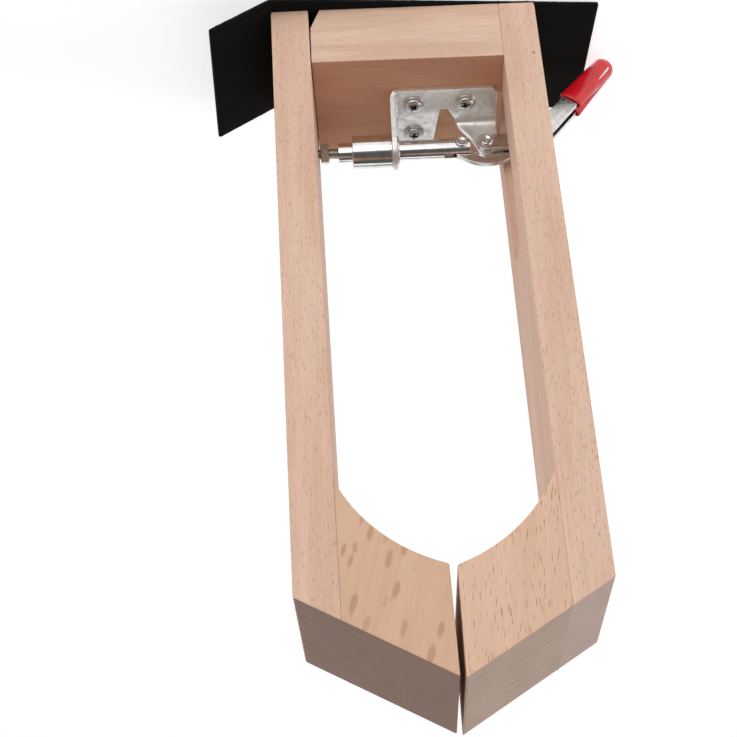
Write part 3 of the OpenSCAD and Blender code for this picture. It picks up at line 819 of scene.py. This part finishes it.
def make_clamp_screws(material, recess):
    """Pan heads with a cross recess and a washer face, on plain shanks. The recess faces carry painted shade."""
    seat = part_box("clamp_bracket")[0].z / MM + SHEET
    steps = 96
    joined = bmesh.new()
    for number, (low, high) in enumerate(solids_of("clamp_screws")):
        x, y = (low.x + high.x) / 2, (low.y + high.y) / 2
        head_r = (high.x - low.x) / 2
        turned = math.radians(20 + 31 * number)
        rings = []

        def ring(r, z, dished=False):
            points = []
            for i in range(steps):
                a = 2 * math.pi * i / steps
                u, v = r * math.cos(a), r * math.sin(a)
                lower = cross_depth(r * math.cos(a - turned), r * math.sin(a - turned)) if dished else 0.0
                points.append(Vector((x + u, y + v, seat + z - lower)) * MM)
            rings.append(points)

        for i in range(24):
            r = 0.02 + SCREW_DOME_R * 0.96 * i / 23
            ring(r, 1.0 + SCREW_DOME_H * math.sqrt(1 - (r / SCREW_DOME_R) ** 2), dished=True)
        ring(SCREW_DOME_R, 1.0)
        ring(SCREW_DOME_R + 0.04, 0.8)
        ring(head_r - 0.3, 0.74)
        ring(head_r - 0.08, 0.62)
        ring(head_r, 0.42)
        ring(head_r, 0.0)
        ring(SCREW_SHANK_R, 0.0)
        ring(SCREW_SHANK_R, low.z - seat + 2.0)
        ring(0.3, low.z - seat)
        head = shell(rings, "screw", smooth_to=38.0)
        for face in head.polygons:
            u, v = face.center.x / MM - x, face.center.y / MM - y
            c, d = math.cos(turned), math.sin(turned)
            # faces deep in the cross recess take the dark recess material, which is painted shade
            in_cross = cross_depth(u * c + v * d, v * c - u * d) > 0.3 * CROSS_DEEP
            face.material_index = 1 if in_cross and face.center.z / MM > seat + 0.5 else 0
        joined.from_mesh(head)
        bpy.data.meshes.remove(head)
    mesh = bpy.data.meshes.new("clamp_screws_pan")
    joined.to_mesh(mesh)
    joined.free()
    mesh.set_sharp_from_angle(angle=math.radians(38))
    slots = [face.material_index for face in mesh.polygons]
    piece = add_piece(mesh, "clamp_screws_pan", material, ["clamp_screws"])
    piece.data.materials.append(recess)
    for face, number in zip(piece.data.polygons, slots):
        face.material_index = number


RIVET_HEAD = [(0.0, 0.62), (0.35, 0.57), (0.7, 0.46), (1.15, 0.50), (1.5, 0.83), (1.82, 1.06), (2.1, 1.0),
              (2.36, 0.68), (2.5, 0.32), (2.46, 0.05), (2.38, 0.0)]


def make_rivet(node, name, material, head_r, shaft_r):
    """A rivet along Y with a rolled head at each end: (distance from its middle line, height) in mm."""
    low, high = (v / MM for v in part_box(node))
    middle = (low + high) / 2
    half = (high.y - low.y) / 2 - 1.1
    k = head_r / RIVET_HEAD[-3][0]
    head = [(r * k, half + h) for r, h in RIVET_HEAD]
    profile = [(max(r, 0.01), y) for r, y in head] + [(shaft_r, half)]
    profile += [(r, -y) for r, y in reversed(profile)]
    rings = [ring_about((middle.x, middle.y + y, middle.z), "Y", lambda a, r=r: r, 40) for r, y in profile]
    add_piece(shell(rings, name, smooth_to=50.0), name, material, [node])


HEX_FLATS = 7.0                              # across the flats of the nut and the bolt's head, mm
HEX_CHAMFER = math.radians(30)
THREAD_R, THREAD_DEEP, THREAD_PITCH = 2.0, 0.36, 0.7
BOLT_PLAIN_R = 1.9                           # the bolt where it has no thread


def hex_radius(angle):
    """Distance in mm from the middle of a hexagon to its side in that direction."""
    within = (angle + math.pi / 6) % (math.pi / 3) - math.pi / 6
    return HEX_FLATS / 2 / math.cos(within)


def hex_rings(x0, x1, y, z, steps, chamfer=(True, True)):
    """Rings of a chamfered hexagon along X."""
    crown = HEX_FLATS / 2 * 0.95

    def ring(x, sense, outer):
        points = []
        for i in range(steps):
            a = 2 * math.pi * i / steps
            r = hex_radius(a)
            drop = (r - crown) * math.tan(HEX_CHAMFER) if outer else 0
            r = r if outer else crown
            points.append(Vector((x + sense * drop, y + r * math.cos(a), z + r * math.sin(a))) * MM)
        return points

    first = [ring(x0, 1, False), ring(x0, 1, True)] if chamfer[0] else \
        [ring_about((x0, y, z), "X", hex_radius, steps)]
    last = [ring(x1, -1, True), ring(x1, -1, False)] if chamfer[1] else \
        [ring_about((x1, y, z), "X", hex_radius, steps)]
    return first + last


def thread_radius(x, angle):
    """Radius in mm of a right-hand thread along X."""
    phase = (x / THREAD_PITCH - angle / (2 * math.pi)) % 1.0
    ridge = 1 - abs(2 * phase - 1)
    return THREAD_R - THREAD_DEEP + THREAD_DEEP * min(1.0, max(0.0, 1.25 * ridge - 0.1))


def make_bolt(material):
    """The spindle bolt: a plain end inside the plunger, then thread, then a hexagon head in the leg."""
    low, high = (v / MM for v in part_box("spindle_bolt"))
    head_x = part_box("spindle_washer")[1].x / MM
    plunger_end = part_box("plunger")[1].x / MM
    y, z = pivot.y / MM, pivot.z / MM
    steps = 36
    rings = [ring_about((low.x, y, z), "X", lambda a: 1.55, steps),
             ring_about((low.x + 0.4, y, z), "X", lambda a: BOLT_PLAIN_R, steps),
             ring_about((plunger_end - 1.5, y, z), "X", lambda a: BOLT_PLAIN_R, steps)]
    x = plunger_end - 1.0
    while x < head_x - 0.6:
        rings.append(ring_about((x, y, z), "X", lambda a, x=x: thread_radius(x, a), steps))
        x += THREAD_PITCH / 6
    rings.append(ring_about((head_x, y, z), "X", lambda a: BOLT_PLAIN_R, steps))
    rings += hex_rings(head_x, high.x, y, z, steps, chamfer=(False, True))
    mesh = shell(rings, "spindle_bolt_threaded", smooth_to=40.0)
    add_piece(mesh, "spindle_bolt_threaded", material, ["spindle_bolt"])


def make_nut(material):
    low, high = (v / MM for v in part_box("spindle_nut"))
    y, z = pivot.y / MM, pivot.z / MM
    steps = 48
    bore = [ring_about((x, y, z), "X", lambda a: 2.03, steps) for x in (low.x + 0.3, high.x - 0.3)]
    mouth = [ring_about((x, y, z), "X", lambda a: 2.35, steps) for x in (low.x, high.x)]
    rings = [bore[0], mouth[0]] + hex_rings(low.x, high.x, y, z, steps) + [mouth[1], bore[1], bore[0]]
    mesh = shell(rings, "spindle_nut_hex", closed=False, smooth_to=25.0)
    add_piece(mesh, "spindle_nut_hex", material, ["spindle_nut"])


HANDLE_SLOPE = math.radians(50.5)            # the handle's bend and slope are those of the CAD plates
HANDLE_BEND_R, HANDLE_BEND_X = 24.0, -36.7
GRIP_START, GRIP_END = 14.0, 42.3            # distances in mm along the sloped part of the handle
GRIP_WIDE, GRIP_TIP = 11.0, 8.8              # width at the mouth and at the tip
GRIP_FOLD = 17.0                             # length of the fold between the two lobes


def make_grip(material):
    """Dipped vinyl over both plates: two lobes with a fold between them at the mouth, one round tip."""
    low, high = (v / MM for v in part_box("handle_grip"))
    deep = (high.y - low.y) / 2
    mid_y = (high.y + low.y) / 2
    start = Vector((HANDLE_BEND_X - HANDLE_BEND_R * math.sin(HANDLE_SLOPE), mid_y,
                    pivot.z / MM - HANDLE_BEND_R * (1 - math.cos(HANDLE_SLOPE))))
    along = Vector((-math.cos(HANDLE_SLOPE), 0, -math.sin(HANDLE_SLOPE)))
    wide = Vector((-math.sin(HANDLE_SLOPE), 0, math.cos(HANDLE_SLOPE)))
    tip_r = GRIP_TIP / 2
    steps = 72

    def section(s, inset=0.0):
        """The ring at a distance s along the handle, pulled inwards by inset."""
        t = min(1.0, max(0.0, (s - GRIP_START) / (GRIP_END - GRIP_START)))
        half_w = (GRIP_WIDE + (GRIP_TIP - GRIP_WIDE) * t ** 0.8) / 2
        half_d = deep * (1 - 0.10 * t)
        fold = 0.66 * max(0.0, 1 - (s - GRIP_START) / GRIP_FOLD) ** 1.2
        over = s - (GRIP_END - tip_r)
        cap = math.sqrt(max(0.0, 1 - (over / tip_r) ** 2)) if over > 0 else 1.0
        power = 0.62 + 0.34 * t
        ring = []
        for i in range(steps):
            a = 2 * math.pi * i / steps
            c, d = math.cos(a), math.sin(a)
            u = math.copysign(abs(c) ** power, c) * (half_w - inset)
            v = math.copysign(abs(d) ** power, d) * (half_d - inset)
            pinch = fold * math.exp(-(v / (1.5 + 0.3 * t)) ** 2)
            u *= 1 - pinch
            ring.append((start + along * s + wide * (u * cap) + Vector((0, v * cap, 0))) * MM)
        return ring

    wall = 0.85
    rings = [section(GRIP_START + 3.0, wall), section(GRIP_START + 0.5, wall),
             section(GRIP_START + 0.1, wall * 0.75), section(GRIP_START - 0.05, wall * 0.4),
             section(GRIP_START + 0.12, 0.1), section(GRIP_START + 0.5, 0.0)]
    rings += [section(GRIP_START + 0.5 + (GRIP_END - tip_r - GRIP_START - 0.5) * i / 24)
              for i in range(1, 25)]
    rings += [section(GRIP_END - tip_r + tip_r * math.sin(math.pi / 2 * i / 12)) for i in range(1, 12)]
    rings.append(section(GRIP_END - 0.002))
    mesh = shell(rings, "vinyl_grip", smooth_to=80.0)
    add_piece(mesh, "vinyl_grip", material, ["handle_grip"])


def make_clamp(material):
    make_bracket(material["sheet"])
    make_clamp_screws(material["screw"], material["recess"])
    make_rivet("plunger_rivet", "plunger_rivet_rolled", material["bright"], 2.5, 1.5)
    make_rivet("pivot_rivet", "pivot_rivet_rolled", material["bright"], 2.5, 1.5)
    make_rivet("link_rivet", "link_rivet_rolled", material["bright"], 2.2, 1.3)
    make_bolt(material["screw"])
    make_nut(material["screw"])
    make_grip(material["vinyl"])
    rounded("guide_barrel", "guide_barrel_turned", material["chrome"], 0.35)
    rounded("plunger", "plunger_rod", material["chrome"], 0.08, cuts=(pivot.z / MM,))
    rounded("link", "link_strap", material["bright"], 0.28)
    rounded("handle_plate_front", "handle_plate_front_steel", material["bright"], 0.3)
    rounded("handle_plate_back", "handle_plate_back_steel", material["bright"], 0.3)
    rounded("pivot_washers", "pivot_washers_steel", material["bright"], 0.1)
    rounded("spindle_washer", "spindle_washer_steel", material["screw"], 0.12)


def make_hinge_and_screws(material):
    rounded("hinge_leaf_block", "hinge_leaf_block_steel", material["sheet"], 0.12)
    rounded("hinge_leaf_arm", "hinge_leaf_arm_steel", material["sheet"], 0.12)
    rounded("hinge_pin", "hinge_pin_steel", material["screw"], 0.15)
    rounded("hinge_screws_block", "hinge_screws_block_steel", material["screw"], 0.08)
    rounded("hinge_screws_arm", "hinge_screws_arm_steel", material["screw"], 0.08)
    rounded("leg_screws", "leg_screws_steel", material["screw"], 0.1)


# ---------------------------------------------------------------- the scene

make_camera()
make_world()
make_floor()
area_light("key", (0.35, -1.1, 0.35), (0, 0, 0.12), (0.9, 0.9), 2.7)
area_light("side", (-1.0, 0.1, 0.75), (0, 0, 0.2), (0.8, 0.6), 3)
area_light("back", (0.1, 0.9, 1.0), (0, 0, 0.1), (1.1, 0.35), 1.2)
materials = make_materials()
make_wood(materials)
make_strip(materials["suede"])
make_clamp(materials)
make_hinge_and_screws(materials)
bpy.context.scene.view_settings.view_transform = "Standard"

bpy.context.view_layer.update()
